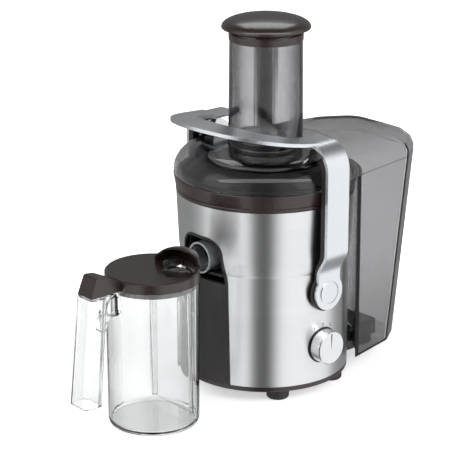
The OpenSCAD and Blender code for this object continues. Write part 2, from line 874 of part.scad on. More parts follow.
// Side of the dome, pushed inwards by d
function dome_side(d) = [for (a = [0 : 10 : 90])
    [dome_flat_r + (dome_rim_r - dome_flat_r - d) * cos(a),
        lid_z + dome_foot_h + (lid_h - dome_foot_h - d) * sin(a)]];

module dome(d) {
    turned(concat([[0, lid_z - d], [dome_rim_r - d, lid_z - d]], dome_side(d), [[0, lid_top_z - d]]));
}

near_corner_r = 4;
near_corner_y = 50;
side_corner_r = 18;
side_corner_in = 34;
side_corner_back = 44;
back_corner_r = 26;
back_corner_in = 55;

// Level of the bin's outline at height z, h thick
module bin_level(half_w, reach, z, h) {
    for (side = [-1, 1]) {
        translate([side * (half_w - near_corner_r), near_corner_y, z])
            cylinder(r = near_corner_r, h = h, $fn = soft);
        translate([side * (half_w - side_corner_in), reach - side_corner_back, z])
            cylinder(r = side_corner_r, h = h, $fn = soft);
        translate([side * (half_w - back_corner_in), reach - back_corner_r, z])
            cylinder(r = back_corner_r, h = h, $fn = soft);
    }
}

// Levels of the roof: how far in from the bin's mouth, and the height as a share of the roof's
roof_levels = [[0, 0], [0, 0.24], [2.5, 0.5], [9, 0.74], [20, 0.9], [34, 1]];

module roof(d) {
    hull() for (level = roof_levels)
        bin_level(bin_half_w - level[0] - d, bin_reach - level[0] - d,
            lid_z + level[1] * (roof_h - 1 - d) - (level[1] == 0 ? d : 0), 1);
}

module lid_cover() {
    color("#8a8687", 0.6) place() difference() {
        union() {
            dome(0);
            roof(0);
            both_sides() translate([0, 0, ear_z]) x_rod(ear_r, ear_x - ear_t / 2, ear_x + ear_t / 2);
        }
        dome(lid_t);
        roof(lid_t);
        translate([0, 0, lid_z]) cylinder(r = chute_hole_r, h = 2 * lid_h, $fn = smooth);
        translate([0, 0, lid_z - lid_h]) cylinder(r = 2 * body_r, h = lid_h, $fn = smooth);
    }
}

ear_z = lid_z + 19.4;

module feed_chute() {
    color("#7f8285", 0.6) place() translate([0, 0, lid_top_z]) turned([[chute_r - chute_t, 0], [chute_r, 0],
        [chute_r - chute_draft, chute_h], [chute_r - chute_draft - chute_t, chute_h]]);
}

throat_r = chute_hole_r - part_gap;
throat_z = hub_z + 23;

module feed_throat() {
    color("#2f2728") place() turned([[throat_r - 2, lid_top_z - 0.2], [throat_r, lid_top_z - 0.2],
        [throat_r, lid_top_z - lid_t], [33, lid_top_z - 27], [29, throat_z], [27, throat_z],
        [31, lid_top_z - 27], [throat_r - 2, lid_top_z - lid_t - 1]]);
}

rim_z = lid_top_z + chute_h;
rim_r = chute_r - chute_draft + 0.7;
pusher_gap = 0.5;

module chute_rim() {
    tube_r = chute_r - chute_draft;
    color("#3b3132") place() translate([0, 0, rim_z]) turned([
        [tube_r + 0.05, -3], [rim_r, -3], [rim_r + 0.3, rim_h - 2], [rim_r - 0.5, rim_h],
        [pusher_r + pusher_gap + 1, rim_h], [pusher_r + pusher_gap, rim_h - 1],
        [pusher_r + pusher_gap, 2], [tube_r - chute_t, 0.1], [tube_r + 0.05, 0.1]]);
}

// ---------------------------------------------------------------- pusher

cap_z = rim_z + rim_h + part_gap;
cap_neck_h = 5;
cap_neck_r = pusher_r + 2.5;
pusher_z0 = lid_top_z + 6;

module pusher_tube() {
    color("#8f9194", 0.6) place() difference() {
        translate([0, 0, pusher_z0]) cylinder(r = pusher_r, h = cap_z + 6 - pusher_z0, $fn = smooth);
        translate([0, 0, pusher_z0 + pusher_t]) cylinder(r = pusher_r - pusher_t, h = cap_z, $fn = smooth);
    }
}

module pusher_cap() {
    lip_z = cap_neck_h + 1.5;
    dome_points = [for (a = [0 : 9 : 90]) [cap_r * cos(a), lip_z + (cap_h - 1.5) * sin(a)]];
    color("#3a3132") place() translate([0, 0, cap_z]) turned(concat(
        [[0, 7], [pusher_r + 0.2, 7], [pusher_r + 0.2, 0], [cap_neck_r, 0], [cap_neck_r, cap_neck_h - 4],
            [cap_r - 3, cap_neck_h - 1], [cap_r, cap_neck_h]], dome_points));
}

// ---------------------------------------------------------------- locking arm

liner_gap = 2;
strap_x = collar_r + liner_gap + liner_t + part_gap + strap_t;
lobe_x = body_r + 9.5;
arm_top_z = collar_z1 + arm_rise;
s_foot_z = pivot_z + 22;
s_top_z = pivot_z + 50;
bend_x = strap_x - bend_r;
bend_z = arm_top_z - bend_r;

// Side view of the strap's face: from its foot at foot_x up to x, over the bend to the angle turn,
// all pushed inwards by d
function strap_side(foot_x, d, turn) = concat(
    [[foot_x, pivot_z]],
    [for (a = [0 : 20 : 180]) [foot_x + (strap_x - d - foot_x) * (1 - cos(a)) / 2,
        s_foot_z + (s_top_z - s_foot_z) * a / 180]],
    [for (a = [0 : turn / 9 : turn + 0.1]) [bend_x + (bend_r - d) * cos(a), bend_z + (bend_r - d) * sin(a)]]);

// Solid of the given width between two such faces
module strap_solid(outer, inner, w) {
    rotate([90, 0, 0]) linear_extrude(height = w, center = true) polygon(concat(outer, reversed(inner)));
}

// Plate of the visor: rings of four points round a half ellipse that rises towards the front
visor_steps = 32;
visor_from = 5;
visor_in_w = visor_half_w - visor_d;

function visor_ring(a) =
    let (z = arm_top_z + visor_rise * pow(sin(a), 1.5),
        outer = [visor_half_w * cos(a), -visor_reach * sin(a)],
        inner = [visor_in_w * cos(a), -(visor_reach - visor_d) * sin(a)])
    [[inner[0], inner[1], z - strap_t], [outer[0], outer[1], z - strap_t],
        [outer[0], outer[1], z], [inner[0], inner[1], z]];

module visor() {
    step = (180 - 2 * visor_from) / visor_steps;
    points = [for (i = [0 : visor_steps]) each visor_ring(visor_from + i * step)];
    last = 4 * visor_steps;
    sides = [for (i = [0 : visor_steps - 1], k = [0 : 3])
        [4 * i + (k + 1) % 4, 4 * i + k, 4 * i + 4 + k, 4 * i + 4 + (k + 1) % 4]];
    polyhedron(points, concat([[0, 1, 2, 3]], sides, [[last + 3, last + 2, last + 1, last]]));
}

module arm_strap() {
    color("#c8ccd0") place() union() {
        visor();
        both_sides() {
            difference() {
                union() {
                    strap_solid(concat(strap_side(lobe_x, 0, 90), [[visor_in_w, arm_top_z]]),
                        concat(strap_side(lobe_x - strap_t, strap_t, 90),
                            [[visor_in_w, arm_top_z - strap_t]]),
                        strap_w);
                    translate([0, 0, pivot_z]) x_rod(lobe_r, lobe_x - strap_t, lobe_x);
                }
                translate([0, 0, pivot_z]) x_rod(pin_r + 0.1, 0, lobe_x + 5);
            }
        }
    }
}

liner_d = strap_t + part_gap;
liner_turn = 40;
liner_foot_x = body_r + 2;

module arm_liners() {
    color("#3a3132") place() both_sides() difference() {
        union() {
            strap_solid(strap_side(lobe_x - liner_d, liner_d, liner_turn),
                strap_side(liner_foot_x, liner_d + liner_t, liner_turn), strap_w - 1);
            translate([0, 0, pivot_z]) x_rod(lobe_r + 2, liner_foot_x, lobe_x - liner_d);
        }
        translate([0, 0, pivot_z]) x_rod(pin_r + 0.1, 0, lobe_x + 5);
    }
}

hook_from = 38;
hook_to = 60;
hook_gap = 0.5;
hook_t = 6;

// Hooks that press on the upper front of the lid's ears
module arm_hooks() {
    r0 = ear_r + hook_gap;
    r1 = r0 + hook_t;
    behind_liner = liner_d + liner_t + part_gap;
    far = 3 * bend_r;
    color("#1d1a1b") place() both_sides() difference() {
        translate([ear_x - ear_t / 2, 0, ear_z]) rotate([90, 0, 90]) linear_extrude(height = 30)
            polygon(concat([for (a = [hook_from : 5.5 : hook_to]) [-r0 * cos(a), r0 * sin(a)]],
                [for (a = [hook_to : -5.5 : hook_from]) [-r1 * cos(a), r1 * sin(a)]]));
        strap_solid(strap_side(lobe_x - liner_d, liner_d, 90),
            [[0, arm_top_z - liner_d], [0, arm_top_z + far], [bend_x + far, arm_top_z + far],
                [bend_x + far, pivot_z]], 4 * strap_w);
        strap_solid(strap_side(liner_foot_x, behind_liner, liner_turn),
            [[bend_x + far, pivot_z], [bend_x + far * cos(liner_turn), bend_z + far * sin(liner_turn)]],
            4 * strap_w);
    }
}

module pivot_buttons() {
    color("#d5d8da") place() both_sides() translate([lobe_x, 0, pivot_z]) rotate([0, 90, 0]) {
        cylinder(r = button_r, h = 1, $fn = smooth);
        translate([0, 0, 1 - sliver]) cylinder(r1 = button_r, r2 = button_r - 2.5, h = 0.8, $fn = smooth);
    }
}

module pivot_pins() {
    color("#b9bcbf") place() both_sides() translate([0, 0, pivot_z])
        x_rod(pin_r, switch_x - bracket_len + 3, lobe_x - 0.1);
}

// ---------------------------------------------------------------- knob

module speed_knob() {
    back_x = body_r + 1.1;
    face_x = body_r + knob_proud;
    color("#d3d6d8") place() translate([0, 0, knob_z]) difference() {
        union() {
            x_rod(knob_r, back_x, face_x - 1);
            translate([face_x - 1 - sliver, 0, 0]) rotate([0, 90, 0])
                cylinder(r1 = knob_r, r2 = knob_r - 1, h = 1, $fn = smooth);
            x_rod(spindle_r, switch_x - 16, back_x + 1);
        }
        translate([face_x - 1, 0, 0]) rotate([0, 90, 0]) linear_extrude(height = 3)
            polygon([[-knob_r + 2.5, 1.3], [-knob_r + 2.5, -1.3], [1, -0.4], [1, 0.4]]);
    }
}

// ---------------------------------------------------------------- pulp bin

bin_z1 = lid_z - part_gap;
bin_arc_r = collar_r + bin_gap;
notch_half_w = ledge_half_w + 1;
notch_y1 = ledge_y1 + 1;
notch_z1 = ledge_h + part_gap;

module bin_solid(d) {
    hull() {
        bin_level(bin_foot_half_w - d, bin_foot_reach - d, bin_floor_up + d, 1);
        bin_level(bin_half_w - d, bin_reach - d, bin_z1 - 1 + d, 1);
    }
}

module bin_notch(d) {
    translate([-notch_half_w - d, 0, 0]) cube([2 * notch_half_w + 2 * d, notch_y1 + d, notch_z1 + d]);
}

module pulp_bin() {
    color("#8d8c8e", 0.6) place() difference() {
        bin_solid(0);
        cylinder(r = bin_arc_r, h = 2 * bin_z1, $fn = smooth);
        bin_notch(0);
        difference() {
            bin_solid(bin_t);
            cylinder(r = bin_arc_r + bin_t, h = 2 * bin_z1, $fn = smooth);
            bin_notch(bin_t);
        }
    }
}

// ---------------------------------------------------------------- jug

jug_floor_t = 4;
jug_taper = 1;
lip_half_w = 30;
lip_depth = 41;
handle_top_z = jug_h;
handle_foot_z = 42;
handle_top_half_w = 15;
handle_top_half_d = 11;
handle_top_d = handle_d - 11;
handle_t = 2.2;
handle_corner_r = 6;
boss_r = 11;
boss_z = jug_h - 16;
boss_d = jug_r + 6;

// Places its children on the jug's axis, handle towards local -Y
module at_jug() {
    translate([jug_x, -jug_y, 0]) rotate([0, 0, -jug_turn]) children();
}

module handle_level(half_w, half_d, d, z) {
    for (x = [-1, 1], y = [-1, 1])
        translate([x * (half_w - handle_corner_r), -d + y * (half_d - handle_corner_r), z])
            cylinder(r = handle_corner_r, h = 1, $fn = soft);
}

// The handle, pushed inwards by t on all sides but its open foot
module handle_solid(t) {
    hull() {
        handle_level(handle_half_w - t, handle_foot_half_d - t, handle_d, handle_foot_z - 2 * t);
        handle_level(handle_top_half_w - t, handle_top_half_d - t, handle_top_d, handle_top_z - 1 - t);
    }
}

// Web between the handle and the jug's wall, with the boss that the lid's thumb piece rocks on
module handle_web() {
    web_half_w = 7;
    web_z = jug_h - 30;
    rotate([90, 0, 90]) translate([0, 0, -web_half_w]) linear_extrude(height = 2 * web_half_w)
        polygon([[-handle_top_d + 4, handle_top_z - 3], [-handle_top_d + 4, web_z - 12],
            [-handle_top_d + handle_top_half_d + 1, web_z - 12],
            [-handle_top_d + handle_top_half_d + 4, web_z - 4],
            [-boss_d - 4, web_z + 2], [-jug_r + 1, web_z + 2], [-jug_r + 1, handle_top_z - 3]]);
    translate([0, -boss_d, boss_z]) x_rod(boss_r, -10, 10);
}

module jug() {
    foot_r = jug_r - jug_taper;
    color("#e6ecec", 0.4) place() at_jug() difference() {
        union() {
            turned([[0, 0], [foot_r - 4, 0], [foot_r - 1, 1.5], [foot_r, 5], [jug_r, jug_h],
                [jug_r - jug_t, jug_h], [foot_r - jug_t, 7], [foot_r - 6, jug_floor_t], [0, jug_floor_t]]);
            difference() {
                union() {
                    handle_solid(0);
                    handle_web();
                }
                handle_solid(handle_t);
                translate([0, 0, jug_floor_t]) cylinder(r = jug_r - jug_t + 0.2, h = jug_h, $fn = smooth);
            }
        }
        translate([0, 2 * jug_r, 0]) rotate([90, 0, 0]) linear_extrude(height = 1.5 * jug_r)
            polygon([[-lip_half_w, jug_h + 1], [lip_half_w, jug_h + 1], [0, jug_h - lip_depth]]);
    }
}

jug_lid_z = jug_h + part_gap;
jug_lid_z1 = jug_lid_z + jug_lid_h;
plug_r = jug_r - jug_t - 0.6;
hood_at = [6.5, 30.5];
hood_turn = 24;
hood_t = 2.2;
hood_reach = 28.7;
hood_lean = 32;
lid_skirt_r = plug_r - 2.5;
lid_top_t = 3;
lid_rim_t = 2;
skirt_h = 6;
well_at = [55, 77];
well_r = 85;
well_slope = 10;
well_fall = 6;
drop_r = 20;
port_half_w = 16;
port_h = 4;

// Egg shape that stands on the lid, made smaller all round by d
module hood_dome(d) {
    intersection() {
        translate([hood_at[0], hood_at[1], jug_lid_z1 - 1]) turned(concat([[0, 0]],
            [for (a = [0 : 9 : 90]) [(hood_reach - d) * cos(a), (hood_h + 1 - d) * sin(a)]]));
        cylinder(r = jug_r - d, h = jug_lid_z1 + 2 * hood_h, $fn = smooth);
    }
}

// Hollow hood whose open front leans back
module hood() {
    difference() {
        hood_dome(0);
        difference() {
            hood_dome(hood_t);
            cylinder(r = 2 * jug_r, h = jug_lid_z1 - 0.4, $fn = smooth);
        }
        translate([hood_at[0], hood_at[1], jug_lid_z1 - 0.4]) rotate([0, 0, hood_turn]) rotate([90, 0, 90])
            translate([0, 0, -jug_r]) linear_extrude(height = 2 * jug_r)
                polygon([[0, 0], [-2 * jug_r, 0], [-2 * jug_r, 2 * hood_h],
                    [-2 * hood_h * tan(hood_lean), 2 * hood_h]]);
    }
}

cap_half_w = 12.5;
cap_rise = 21;
cap_lean = 7;

// Thumb piece over the handle's top and the wedge that joins it to the lid
module thumb_piece() {
    z0 = handle_top_z + part_gap + 0.2;
    outer = handle_top_d + handle_top_half_d - 1;
    rotate([90, 0, 90]) translate([0, 0, -2 * cap_half_w]) linear_extrude(height = 4 * cap_half_w)
        polygon([[-outer, z0], [-outer + cap_lean, z0 + cap_rise - 2], [-outer + cap_lean + 2, z0 + cap_rise],
            [-outer + cap_lean + 12, z0 + cap_rise - 1], [-jug_r + 3, jug_lid_z1 - 2.2],
            [-jug_r + 3, z0]]);
}

// Outline of the well in the lid, made wider by d
module well_column(d) {
    intersection() {
        translate([well_at[0], well_at[1], 0]) cylinder(r = well_r + d, h = 2 * jug_h, $fn = smooth);
        cylinder(r = jug_r + 0.6 - lid_rim_t + d, h = 2 * jug_h, $fn = smooth);
    }
}

// Everything on the far side of the hood's open front, from height z up
module behind_hood_front(z) {
    translate([hood_at[0], hood_at[1], z]) rotate([0, 0, hood_turn])
        translate([-2 * jug_r, 0, 0]) cube([4 * jug_r, 2 * jug_r, 2 * jug_h]);
}

// Space of the well above its floor, which slopes down to the drop under the hood
module well_space() {
    difference() {
        intersection() {
            well_column(0);
            translate([hood_at[0], hood_at[1], jug_lid_z1 - 0.5]) rotate([0, 0, hood_turn])
                translate([hood_reach, -hood_reach, 0]) rotate([-well_slope, -well_fall, 0])
                    translate([-3 * jug_r, -jug_r, 0]) cube([4 * jug_r, 3 * jug_r, jug_r]);
        }
        behind_hood_front(0);
    }
}

module jug_lid() {
    color("#3e3536") place() at_jug() difference() {
        union() {
            difference() {
                union() {
                    translate([0, 0, jug_lid_z]) cylinder(r = jug_r + 0.6, h = jug_lid_h - 1.5, $fn = smooth);
                    translate([0, 0, jug_lid_z1 - 1.5 - sliver])
                        cylinder(r1 = jug_r + 0.6, r2 = jug_r - 0.9, h = 1.5, $fn = smooth);
                    translate([0, 0, jug_lid_z - skirt_h])
                        cylinder(r = plug_r, h = skirt_h + sliver, $fn = smooth);
                }
                translate([0, 0, jug_lid_z - skirt_h - 1])
                    cylinder(r = lid_skirt_r, h = skirt_h + 1 + jug_lid_h - lid_top_t, $fn = smooth);
            }
            hood();
            intersection() {
                well_column(2);
                translate([0, 0, jug_lid_z - skirt_h / 2])
                    cylinder(r = lid_skirt_r + 1, h = skirt_h / 2 + jug_lid_h - 1, $fn = smooth);
            }
            intersection() {
                thumb_piece();
                translate([0, -handle_top_d, 0]) linear_extrude(height = 2 * jug_h)
                    polygon([[-cap_half_w, -20], [cap_half_w, -20], [cap_half_w, 6], [9, 40], [-9, 40],
                        [-cap_half_w, 6]]);
            }
        }
        well_space();
        intersection() {
            translate([hood_at[0], hood_at[1], 0]) cylinder(r = drop_r, h = jug_lid_z1 + 1, $fn = smooth);
            cylinder(r = lid_skirt_r, h = 2 * jug_h, $fn = smooth);
            behind_hood_front(0);
        }
        translate([-port_half_w, 0.6 * jug_r, jug_lid_z - sliver])
            cube([2 * port_half_w, jug_r, port_h]);
    }
}

rail_half_w = 4.5;
plate_z0 = 12;
plate_y = 27;

module froth_separator() {
    room_r = jug_r - jug_taper - jug_t - part_gap;
    half_w = sqrt(pow(room_r, 2) - pow(plate_y + rail_half_w, 2));
    h = jug_lid_z - skirt_h - part_gap - plate_z0;
    color("#dfe6e6", 0.4) place() at_jug() translate([0, plate_y, plate_z0]) {
        translate([-half_w, -1.1, 0]) cube([2 * half_w, 2.2, h]);
        both_sides() translate([half_w - 3, -rail_half_w, 0]) cube([3, 2 * rail_half_w, h]);
    }
}

body_skin();
chassis_left();
chassis_right();
shell_left();
shell_right();
base_ring();
base_plate();
feet();
foot_screws();
front_panel();
arch_trim();
motor_stator();
motor_windings();
motor_top_bracket();
motor_foot_bracket();
rubber_mounts();
upper_bearing();
lower_bearing();
brush_holders();
deck();
speed_switch();
knob_bezel();
lock_switch();
cord_gland();
pivot_brackets();
bin_ledge();
bowl();
bowl_sleeve();
pulp_ring();
bowl_seal();
collar();
collar_foot();
spout();
spout_seal();
motor_shaft();
rotor();
commutator();
cooling_fan();
drive_coupling();
basket_hub();
mesh_cone();
basket_rim();
grater_disc();
clamp_nut();
lid_cover();
feed_chute();
feed_throat();
chute_rim();
pusher_tube();
pusher_cap();
arm_strap();
arm_liners();
arm_hooks();
pivot_buttons();
pivot_pins();
speed_knob();
pulp_bin();
jug();
jug_lid();
froth_separator();
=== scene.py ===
import json
import math

import bmesh
import bpy
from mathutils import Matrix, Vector


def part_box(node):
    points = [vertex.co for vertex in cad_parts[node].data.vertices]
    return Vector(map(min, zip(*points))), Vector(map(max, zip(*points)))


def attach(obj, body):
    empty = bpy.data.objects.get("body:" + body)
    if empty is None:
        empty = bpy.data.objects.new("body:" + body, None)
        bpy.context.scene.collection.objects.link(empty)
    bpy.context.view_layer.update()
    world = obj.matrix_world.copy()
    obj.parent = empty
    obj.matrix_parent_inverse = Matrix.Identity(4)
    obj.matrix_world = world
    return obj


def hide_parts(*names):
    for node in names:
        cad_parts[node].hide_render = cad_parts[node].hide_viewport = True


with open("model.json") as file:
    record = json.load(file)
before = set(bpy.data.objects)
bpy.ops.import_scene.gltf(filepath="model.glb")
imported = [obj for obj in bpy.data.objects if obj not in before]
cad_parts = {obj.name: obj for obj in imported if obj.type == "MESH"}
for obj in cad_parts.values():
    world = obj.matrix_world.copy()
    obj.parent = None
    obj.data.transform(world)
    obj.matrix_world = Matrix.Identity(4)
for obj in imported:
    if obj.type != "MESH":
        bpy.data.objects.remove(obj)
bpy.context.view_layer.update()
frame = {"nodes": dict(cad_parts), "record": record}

# ---------------------------------------------------------------- camera
# The juicer is seen from its front right, a little above its lid, through a long lens.
# Sizes are in millimetres and places are from the foot of the drum's axis, which the frame has at drum_y.

MM = 0.001
cap_low, cap_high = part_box("pusher_cap")
drum_y = (cap_low.y + cap_high.y) / 2
axis_foot = Vector((0, drum_y, 0))

eye_turn = math.radians(46.8)
eye_distance = 2199.45
eye_height = 907.46
look_aside = 0.01833
look_down = math.radians(18.4535)
sensor_width = 36
picture_px = 460
focal_px = 2014

look_turn = eye_turn + look_aside
forward = Vector((-math.sin(look_turn) * math.cos(look_down), math.cos(look_turn) * math.cos(look_down),
                  -math.sin(look_down)))
lens = bpy.data.cameras.new("camera")
lens.sensor_width = sensor_width
lens.lens = focal_px / picture_px * sensor_width
camera = bpy.data.objects.new("camera", lens)
camera.location = axis_foot + Vector((eye_distance * math.sin(eye_turn), -eye_distance * math.cos(eye_turn),
                                      eye_height)) * MM
camera.rotation_mode = "QUATERNION"
camera.rotation_quaternion = forward.to_track_quat("-Z", "Y")
bpy.context.scene.collection.objects.link(camera)
bpy.context.scene.camera = camera

# ---------------------------------------------------------------- feet
# Four soft feet, each held up into the bottom cover by one screw.
# They are moulded in thermoplastic rubber.


def linear(hex_colour):
    """The sRGB colour as linear light with full alpha."""
    parts = [int(hex_colour[i:i + 2], 16) / 255 for i in (1, 3, 5)]
    return tuple(c / 12.92 if c <= 0.04045 else ((c + 0.055) / 1.055) ** 2.4 for c in parts) + (1,)


def add(tree, kind, links=None, **settings):
    """Adds a node: settings are its properties, links its inputs by name, each a value or a socket."""
    node = tree.nodes.new(kind)
    for name, value in settings.items():
        setattr(node, name, value)
    for name, value in (links or {}).items():
        if isinstance(value, bpy.types.NodeSocket):
            tree.links.new(value, node.inputs[name])
        else:
            node.inputs[name].default_value = value
    return node


def start_material(name, **sockets):
    """A new material with one surface shader. Returns it, its tree, its shader and the place in mm."""
    material = bpy.data.materials.new(name)
    material.use_nodes = True
    tree = material.node_tree
    surface = tree.nodes["Principled BSDF"]
    for socket, value in sockets.items():
        surface.inputs[socket.replace("_", " ")].default_value = value
    place = add(tree, "ShaderNodeTexCoord").outputs["Object"]
    in_mm = add(tree, "ShaderNodeVectorMath", {0: place, 1: (1 / MM, 1 / MM, 1 / MM)}, operation="MULTIPLY")
    return material, tree, surface, in_mm.outputs["Vector"]


def grained(name, grain_mm, depth_mm, colours, rough, stretch=(1, 1, 1), **sockets):
    """A material with a fine relief and a gloss that follows it, between two colours that change slowly."""
    material, tree, surface, place = start_material(name, **sockets)
    slow = 25
    drawn = add(tree, "ShaderNodeVectorMath", {0: place, 1: stretch}, operation="MULTIPLY").outputs["Vector"]
    fine = add(tree, "ShaderNodeTexNoise", {"Vector": drawn, "Scale": 1 / grain_mm, "Detail": 3.0})
    broad = add(tree, "ShaderNodeTexNoise", {"Vector": drawn, "Scale": 1 / (slow * grain_mm), "Detail": 2.0})
    colour = add(tree, "ShaderNodeMix", {"Factor": broad.outputs["Fac"], "A": linear(colours[0]),
                                         "B": linear(colours[1])}, data_type="RGBA")
    gloss = add(tree, "ShaderNodeMapRange", {"Value": fine.outputs["Fac"], "To Min": rough[0],
                                             "To Max": rough[1]})
    relief = add(tree, "ShaderNodeBump", {"Height": fine.outputs["Fac"], "Distance": depth_mm * MM,
                                          "Strength": 1.0})
    tree.links.new(colour.outputs["Result"], surface.inputs["Base Color"])
    tree.links.new(gloss.outputs["Result"], surface.inputs["Roughness"])
    tree.links.new(relief.outputs["Normal"], surface.inputs["Normal"])
    return material


def make_piece(name, form, material):
    """Turns a mesh form into an object of one material."""
    mesh = bpy.data.meshes.new(name)
    form.to_mesh(mesh)
    form.free()
    mesh.materials.append(material)
    piece = bpy.data.objects.new(name, mesh)
    bpy.context.scene.collection.objects.link(piece)
    return piece


def round_edges(form, over, radius_mm, steps, picked=lambda point: True):
    """Rounds the form's edges that turn by more than the angle over and have both their ends picked."""
    edges = [e for e in form.edges if e.is_manifold and e.calc_face_angle(0) > over
             and all(picked(v.co) for v in e.verts)]
    bmesh.ops.bevel(form, geom=edges, offset=radius_mm * MM, segments=steps, profile=0.5, affect="EDGES",
                    clamp_overlap=True)


def finish_edges(material, name, edge_mm, weld_mm=0.01, first=None):
    """Stands for a CAD node with a closed copy of its solid whose hard edges are rounded, as moulds and dies
    leave them, and whose curved faces are smooth. Points nearer than weld_mm are joined, because the shortest
    edge limits every rounding. What first says is rounded before the rest."""
    flat = math.radians(0.5)
    hard = math.radians(34)
    form = bmesh.new()
    form.from_mesh(frame["nodes"][name].data)
    bmesh.ops.remove_doubles(form, verts=form.verts, dist=weld_mm * MM)
    bmesh.ops.dissolve_limit(form, angle_limit=flat, verts=form.verts, edges=form.edges)
    if first:
        round_edges(form, **first)
    round_edges(form, hard, edge_mm, steps=2)
    for face in form.faces:
        face.smooth = True
    piece = make_piece(name + "_finished", form, material)
    piece.modifiers.new("flat faces", "WEIGHTED_NORMAL").weight = 50
    record = frame["record"]
    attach(piece, next(body for body, nodes in record["behaviour"]["bodies"].items() if name in nodes))
    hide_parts(name)


# Moulded TPE: matt, so it only shows a wide soft light on its shoulder.
moulded_rubber = grained("moulded_rubber", 0.6, 0.02, ("#1D1919", "#272222"), (0.5, 0.62), IOR=1.5)
finish_edges(moulded_rubber, "feet", 0.8)

# ---------------------------------------------------------------- foot screws and ball bearings
# Pan head screws in the feet, and the motor's two ball bearings.
# The screws are cold formed and zinc plated; the bearings' ground rings are near enough to share their look.


def dress(material, *nodes):
    """Puts the material on CAD nodes."""
    for name in nodes:
        node = frame["nodes"][name]
        node.data.materials.clear()
        node.data.materials.append(material)


# Zinc plating: a thin cool grey coat with a slightly cloudy shine.
zinc_plated_steel = grained("zinc_plated_steel", 0.5, 0.004, ("#9FA3A6", "#C2C6C8"), (0.22, 0.36),
                            Metallic=1.0)
dress(zinc_plated_steel, "foot_screws", "upper_bearing", "lower_bearing")

# ---------------------------------------------------------------- base
# The ring that closes the drum's foot, the slotted bottom cover that the feet screw to, and the bin's ledge.
# All are moulded ABS: the ring from a polished mould, the cover and the ledge from a spark grained one.

# Polished ABS: a warm dark brown that keeps soft but clear lights on its rounded edges.
polished_brown_abs = grained("polished_brown_abs", 0.9, 0.004, ("#211817", "#291E1D"), (0.24, 0.32), IOR=1.53,
                             Coat_Weight=0.25, Coat_Roughness=0.08)
finish_edges(polished_brown_abs, "base_ring", 0.5)

# Spark grained ABS: near black, and dull at every angle.
grained_black_abs = grained("grained_black_abs", 0.35, 0.02, ("#151212", "#1C1818"), (0.4, 0.5), IOR=1.53)
finish_edges(grained_black_abs, "base_plate", 0.3)
finish_edges(grained_black_abs, "bin_ledge", 1.0)

# ---------------------------------------------------------------- chassis
# The plastic body inside the metal, in two halves with two outer shells behind, its motor deck, pivot blocks
# and switch housings, and the motor's fan. All are moulded.

# Glass filled polypropylene: dull, with a faint cloudy flow in its grey.
filled_polypropylene = grained("filled_polypropylene", 0.5, 0.015, ("#29282A", "#353437"), (0.5, 0.62),
                               IOR=1.49)
dress(filled_polypropylene, "chassis_left", "chassis_right", "shell_left", "shell_right", "deck",
      "pivot_brackets", "speed_switch", "lock_switch", "cooling_fan")

# ---------------------------------------------------------------- motor
# A universal motor on rubber mounts: laminated stator and rotor, copper windings and commutator,
# two cast brackets, and a ground shaft with the fan below and the drive coupling on top.

# Stacked steel sheet: a dull grey with fine level lines.
lamination_steel = grained("lamination_steel", 0.5, 0.05, ("#5F6367", "#7A7F83"), (0.4, 0.55),
                           stretch=(0.02, 0.02, 1), Metallic=1.0)
dress(lamination_steel, "motor_stator", "rotor")

# Wound enamelled wire: warm copper under a clear varnish, in fine rounds.
enamelled_copper = grained("enamelled_copper", 0.8, 0.15, ("#7E4423", "#B46A36"), (0.25, 0.35),
                           stretch=(0.2, 0.2, 1), Metallic=1.0, Coat_Weight=0.6)
dress(enamelled_copper, "motor_windings", "commutator")

# Die cast aluminium, as it leaves the die: pale and slightly pitted.
cast_aluminium = grained("cast_aluminium", 0.7, 0.04, ("#85898D", "#9A9EA1"), (0.42, 0.55), Metallic=1.0)
dress(cast_aluminium, "motor_top_bracket", "motor_foot_bracket", "drive_coupling")

# Ground steel: bright, with faint lines along the grinding.
ground_steel = grained("ground_steel", 0.4, 0.004, ("#AEB2B5", "#C4C8CB"), (0.2, 0.28), stretch=(1, 1, 0.05),
                       Metallic=1.0)
dress(ground_steel, "motor_shaft", "clamp_nut", "pivot_pins")

# Phenolic resin, moulded: brown, with a low waxy shine.
moulded_phenolic = grained("moulded_phenolic", 0.8, 0.01, ("#4C3524", "#654830"), (0.35, 0.45), IOR=1.6)
dress(moulded_phenolic, "brush_holders")

# Moulded silicone: black, and soft looking.
black_silicone = grained("black_silicone", 0.6, 0.01, ("#191819", "#242324"), (0.45, 0.6), IOR=1.43)
dress(black_silicone, "rubber_mounts", "bowl_seal", "spout_seal", "cord_gland")

# ---------------------------------------------------------------- drum
# One sheet of stainless steel, rolled and welded at the back and flared under the collar.
# It is brushed round the drum before it is rolled.

# Brushed steel: light spreads up and down it and stays sharp round it.
# The brush lines are 0.2 mm apart on the real sheet; they are drawn 0.5 mm apart to show.
brushed_stainless = grained("brushed_stainless", 0.5, 0.0008, ("#D9DADB", "#E3E4E5"), (0.27, 0.36),
                            stretch=(0.06, 0.06, 1), Metallic=1.0, Anisotropic=0.75,
                            Anisotropic_Rotation=0.25)
tree = brushed_stainless.node_tree
brushed_way = add(tree, "ShaderNodeTangent", direction_type="RADIAL", axis="Z").outputs["Tangent"]
tree.links.new(brushed_way, tree.nodes["Principled BSDF"].inputs["Tangent"])
dress(brushed_stainless, "body_skin")

# ---------------------------------------------------------------- front panel and arch
# The dark panel in front of the motor, the raised trim round the arch that the spout comes out of, and the
# ring behind the knob. All are moulded ABS, and the panel carries no name.

# Satin ABS: a dark brown with one broad soft light.
satin_brown_abs = grained("satin_brown_abs", 0.5, 0.004, ("#171313", "#1D1818"), (0.32, 0.4), IOR=1.53)
finish_edges(satin_brown_abs, "front_panel", 0.2)
finish_edges(satin_brown_abs, "arch_trim", 0.4)
finish_edges(satin_brown_abs, "knob_bezel", 0.2)

